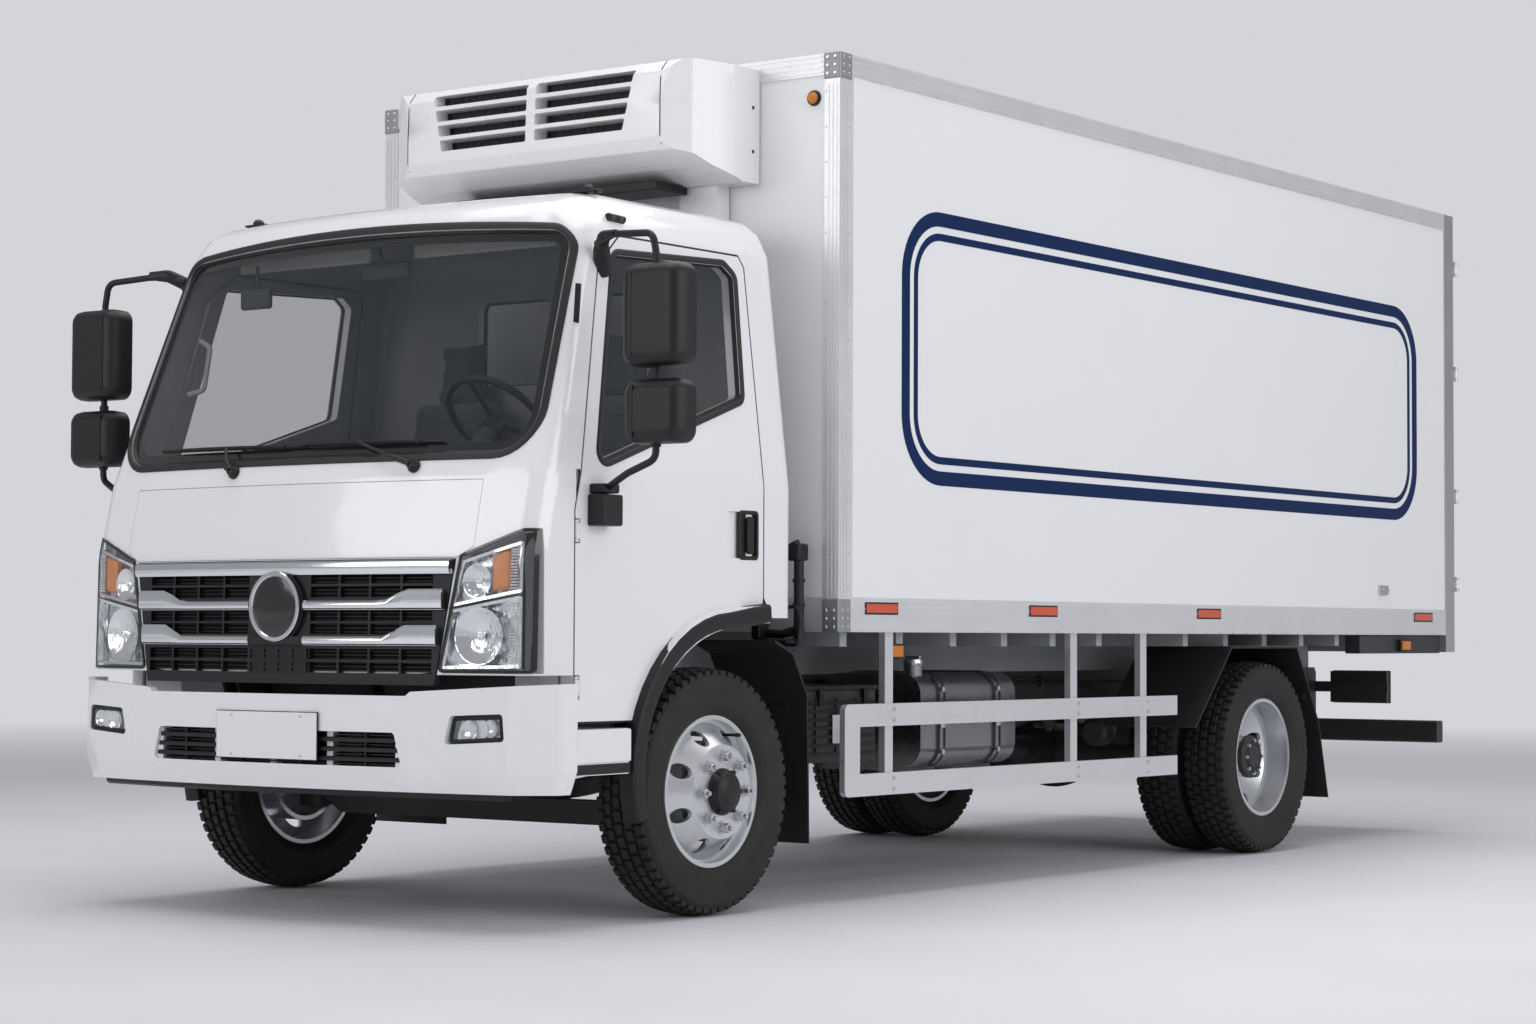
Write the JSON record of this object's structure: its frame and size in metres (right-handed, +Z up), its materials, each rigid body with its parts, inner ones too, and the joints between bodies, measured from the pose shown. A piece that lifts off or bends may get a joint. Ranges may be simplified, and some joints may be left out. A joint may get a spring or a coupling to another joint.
{
  "type": "refrigerated box truck",
  "caption": "Two-axle refrigerated truck with a tilting cab, a ladder chassis, an insulated box body, a nose-mounted cooling unit and hinged rear doors.",
  "frame": {"origin": "on the ground, under the middle of the overall length and width", "axes": "+X to the truck's left, the front faces -Y, +Z up"},
  "size_m": [3.28, 8.138, 3.5],
  "materials": {
    "white_paint": "gloss",
    "white_panel": "satin",
    "white_plastic": "gloss",
    "aluminium_trim": "satin",
    "steel_frame": "satin",
    "floor_panel": "matte",
    "chassis_black": "satin",
    "cast_parts": "matte",
    "spring_steel": "matte",
    "engine_iron": "matte",
    "tank_aluminium": "satin",
    "black_plastic": "matte",
    "lamp_lens": "gloss",
    "tinted_glass": "gloss",
    "grey_trim": "matte",
    "seat_fabric": "matte",
    "wheel_silver": "satin",
    "tyre_rubber": "matte"
  },
  "bodies": {
    "chassis": {"chassis_frame": "chassis_black", "front_axle": "cast_parts", "rear_axle": "cast_parts", "leaf_springs": "spring_steel", "powertrain": "engine_iron", "fuel_tank": "tank_aluminium", "battery_box": "black_plastic", "side_guards": "aluminium_trim", "front_bumper": "white_plastic", "entry_steps": "white_plastic", "mudguards": "black_plastic", "rear_bumper": "chassis_black", "box_floor": "floor_panel", "box_walls": "white_panel", "box_roof": "white_panel", "box_edge_trim": "aluminium_trim", "rear_frame": "steel_frame", "reefer_unit": "white_plastic"},
    "cab": {"cab_shell": "white_paint", "cab_front_panel": "white_paint", "grille": "black_plastic", "headlamps": "lamp_lens", "cab_glass": "tinted_glass", "dashboard": "grey_trim", "seats": "seat_fabric"},
    "steering_wheel_body": {"steering_wheel": "black_plastic"},
    "driver_door": {"cab_door_left": "white_paint", "door_glass_left": "tinted_glass", "mirror_left": "black_plastic"},
    "passenger_door": {"cab_door_right": "white_paint", "door_glass_right": "tinted_glass", "mirror_right": "black_plastic"},
    "left_rear_door": {"cargo_door_left": "white_panel"},
    "right_rear_door": {"cargo_door_right": "white_panel"},
    "left_knuckle": {"knuckle_left": "cast_parts"},
    "right_knuckle": {"knuckle_right": "cast_parts"},
    "steering_rod": {"tie_rod": "cast_parts"},
    "left_front_wheel": {"front_wheel_left": "wheel_silver", "front_tyre_left": "tyre_rubber"},
    "right_front_wheel": {"front_wheel_right": "wheel_silver", "front_tyre_right": "tyre_rubber"},
    "left_rear_wheels": {"rear_wheels_left": "wheel_silver", "rear_tyres_left": "tyre_rubber"},
    "right_rear_wheels": {"rear_wheels_right": "wheel_silver", "rear_tyres_right": "tyre_rubber"}
  },
  "joints": [
    {"name": "cab_tilt", "type": "hinge", "parent": "chassis", "child": "cab", "pos_m": [0, -3.891, 0.93], "axis": [1, 0, 0], "range_deg": [0, 45]},
    {"name": "driver_door_hinge", "type": "hinge", "parent": "cab", "child": "driver_door", "pos_m": [1.176, -3.651, 1.2], "axis": [0, 0, -1], "range_deg": [0, 70]},
    {"name": "passenger_door_hinge", "type": "hinge", "parent": "cab", "child": "passenger_door", "pos_m": [-1.176, -3.651, 1.2], "axis": [0, 0, 1], "range_deg": [0, 70]},
    {"name": "steering_wheel_turn", "type": "hinge", "parent": "cab", "child": "steering_wheel_body", "pos_m": [0.595, -3.431, 1.925], "axis": [0, 0.7071, 0.7071], "range_deg": [-640, 640]},
    {"name": "left_steer", "type": "hinge", "parent": "chassis", "child": "left_knuckle", "pos_m": [0.94, -2.831, 0.48], "axis": [0, 0, 1], "range_deg": [-35, 35]},
    {"name": "right_steer", "type": "hinge", "parent": "chassis", "child": "right_knuckle", "pos_m": [-0.94, -2.831, 0.48], "axis": [0, 0, 1], "range_deg": [-35, 35]},
    {"name": "steering_rod_pivot", "type": "hinge", "parent": "left_knuckle", "child": "steering_rod", "pos_m": [0.94, -2.631, 0.34], "axis": [0, 0, 1], "range_deg": [-36, 36]},
    {"name": "left_front_roll", "type": "hinge", "parent": "left_knuckle", "child": "left_front_wheel", "pos_m": [1.1, -2.831, 0.486], "axis": [1, 0, 0], "continuous": true},
    {"name": "right_front_roll", "type": "hinge", "parent": "right_knuckle", "child": "right_front_wheel", "pos_m": [-1.1, -2.831, 0.486], "axis": [1, 0, 0], "continuous": true},
    {"name": "left_rear_roll", "type": "hinge", "parent": "chassis", "child": "left_rear_wheels", "pos_m": [1.005, 1.739, 0.486], "axis": [1, 0, 0], "continuous": true},
    {"name": "right_rear_roll", "type": "hinge", "parent": "chassis", "child": "right_rear_wheels", "pos_m": [-1.005, 1.739, 0.486], "axis": [1, 0, 0], "continuous": true},
    {"name": "left_rear_door_hinge", "type": "hinge", "parent": "chassis", "child": "left_rear_door", "pos_m": [1.275, 4.057, 2.3], "axis": [0, 0, -1], "range_deg": [0, 270]},
    {"name": "right_rear_door_hinge", "type": "hinge", "parent": "chassis", "child": "right_rear_door", "pos_m": [-1.275, 4.057, 2.3], "axis": [0, 0, 1], "range_deg": [0, 270]}
  ],
  "couplings": [
    {"joint": "right_steer", "follows": "left_steer", "ratio": 1},
    {"joint": "steering_rod_pivot", "follows": "left_steer", "ratio": -1},
    {"joint": "steering_wheel_turn", "follows": "left_steer", "ratio": 18}
  ]
}
